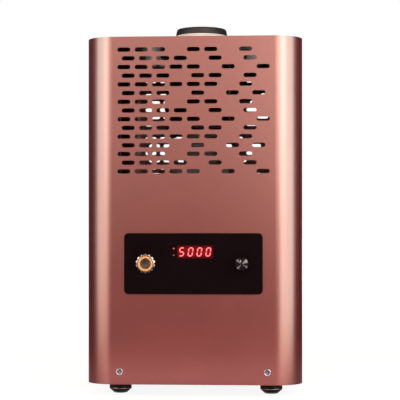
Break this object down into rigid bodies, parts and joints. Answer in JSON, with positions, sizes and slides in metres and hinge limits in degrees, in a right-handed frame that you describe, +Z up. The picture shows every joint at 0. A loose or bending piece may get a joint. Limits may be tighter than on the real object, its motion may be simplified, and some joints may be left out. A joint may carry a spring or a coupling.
{
  "type": "gold melting furnace",
  "caption": "Tabletop electric induction furnace for melting gold in a lift-out crucible, with a slotted metal case, power knob, push button and digital readout.",
  "frame": {"origin": "on the surface that the furnace stands on, under the centre of its overall box", "axes": "+X to the right seen from the front, +Y from the control panel to the rear, +Z up along the crucible's axis"},
  "size_m": [0.25, 0.3584, 0.4452],
  "materials": {
    "case_copper_red": "satin",
    "tray_steel": "satin",
    "foot_rubber": "satin",
    "screw_steel": "satin",
    "plate_black": "gloss",
    "lens_red": "gloss",
    "digit_red": "satin",
    "display_black": "matte",
    "lamp_red": "gloss",
    "board_green": "satin",
    "spacer_brass": "satin",
    "bezel_chrome": "polished",
    "ring_amber": "satin",
    "cap_steel": "satin",
    "nut_nickel": "satin",
    "knob_black": "satin",
    "pointer_white": "matte",
    "crucible_graphite": "satin",
    "sleeve_ceramic": "matte",
    "lining_fibre": "matte",
    "coil_sleeving": "satin",
    "coil_board": "satin",
    "rod_steel": "satin",
    "refractory_grey": "matte",
    "capacitor_cream": "satin",
    "busbar_copper": "satin",
    "module_black": "satin",
    "sink_aluminium": "satin",
    "can_blue": "satin",
    "choke_ferrite": "matte",
    "lead_red": "satin",
    "fan_black": "satin",
    "breaker_white": "satin",
    "lever_blue": "satin",
    "gland_black": "matte"
  },
  "bodies": {
    "case": {"front_shell": "case_copper_red", "rear_cover": "case_copper_red", "top_plate": "case_copper_red", "base_tray": "tray_steel", "side_rails": "tray_steel", "equipment_deck": "tray_steel", "rubber_feet": "foot_rubber", "foot_screws": "screw_steel", "front_screws": "screw_steel", "side_screws": "screw_steel", "rear_screws": "screw_steel", "control_plate": "plate_black", "display_window": "lens_red", "display_digits": "digit_red", "display_block": "display_black", "indicator_lamps": "lamp_red", "display_board": "board_green", "board_standoffs": "spacer_brass", "button_bezel": "bezel_chrome", "button_light_ring": "ring_amber", "button_switch": "display_black", "button_nut": "nut_nickel", "potentiometer": "nut_nickel", "potentiometer_nut": "nut_nickel", "ceramic_sleeve": "sleeve_ceramic", "coil_lining": "lining_fibre", "induction_coil": "coil_sleeving", "coil_base_board": "coil_board", "coil_top_board": "coil_board", "tie_rods": "rod_steel", "top_screws": "screw_steel", "pedestal": "refractory_grey", "stand_block": "refractory_grey", "resonant_capacitors": "capacitor_cream", "busbars": "busbar_copper", "busbar_bolts": "screw_steel", "power_board": "board_green", "board_spacers": "spacer_brass", "power_modules": "module_black", "rectifier_bridge": "module_black", "heat_sink": "sink_aluminium", "filter_capacitors": "can_blue", "filter_choke": "choke_ferrite", "power_leads": "lead_red", "fan_frame": "fan_black", "fan_screws": "screw_steel", "breaker_body": "breaker_white", "cable_gland": "gland_black", "gland_cap": "gland_black", "gland_locknut": "gland_black", "earth_stud": "spacer_brass"},
    "knob": {"power_knob": "knob_black", "knob_pointer": "pointer_white", "knob_shaft": "nut_nickel"},
    "button": {"button_cap": "cap_steel"},
    "crucible": {"crucible": "crucible_graphite"},
    "fan": {"fan_rotor": "fan_black"},
    "lever": {"breaker_lever": "lever_blue"}
  },
  "joints": [
    {"name": "knob_turn", "type": "hinge", "parent": "case", "child": "knob", "pos_m": [0.056, -0.168, 0.153], "axis": [0, 1, 0], "range_deg": [-132, 168]},
    {"name": "button_press", "type": "slide", "parent": "case", "child": "button", "axis": [0, 1, 0], "range_m": [0, 0.0025], "stiffness_N_per_m": 400, "springref_m": -0.001},
    {"name": "crucible_lift", "type": "slide", "parent": "case", "child": "crucible", "axis": [0, 0, 1], "range_m": [0, 0.12]},
    {"name": "fan_spin", "type": "hinge", "parent": "case", "child": "fan", "pos_m": [-0.032, 0.147, 0.106], "axis": [0, 1, 0], "continuous": true},
    {"name": "breaker_switch", "type": "hinge", "parent": "case", "child": "lever", "pos_m": [0.075, 0.15715, 0.126], "axis": [1, 0, 0], "range_deg": [-70, 0]}
  ]
}
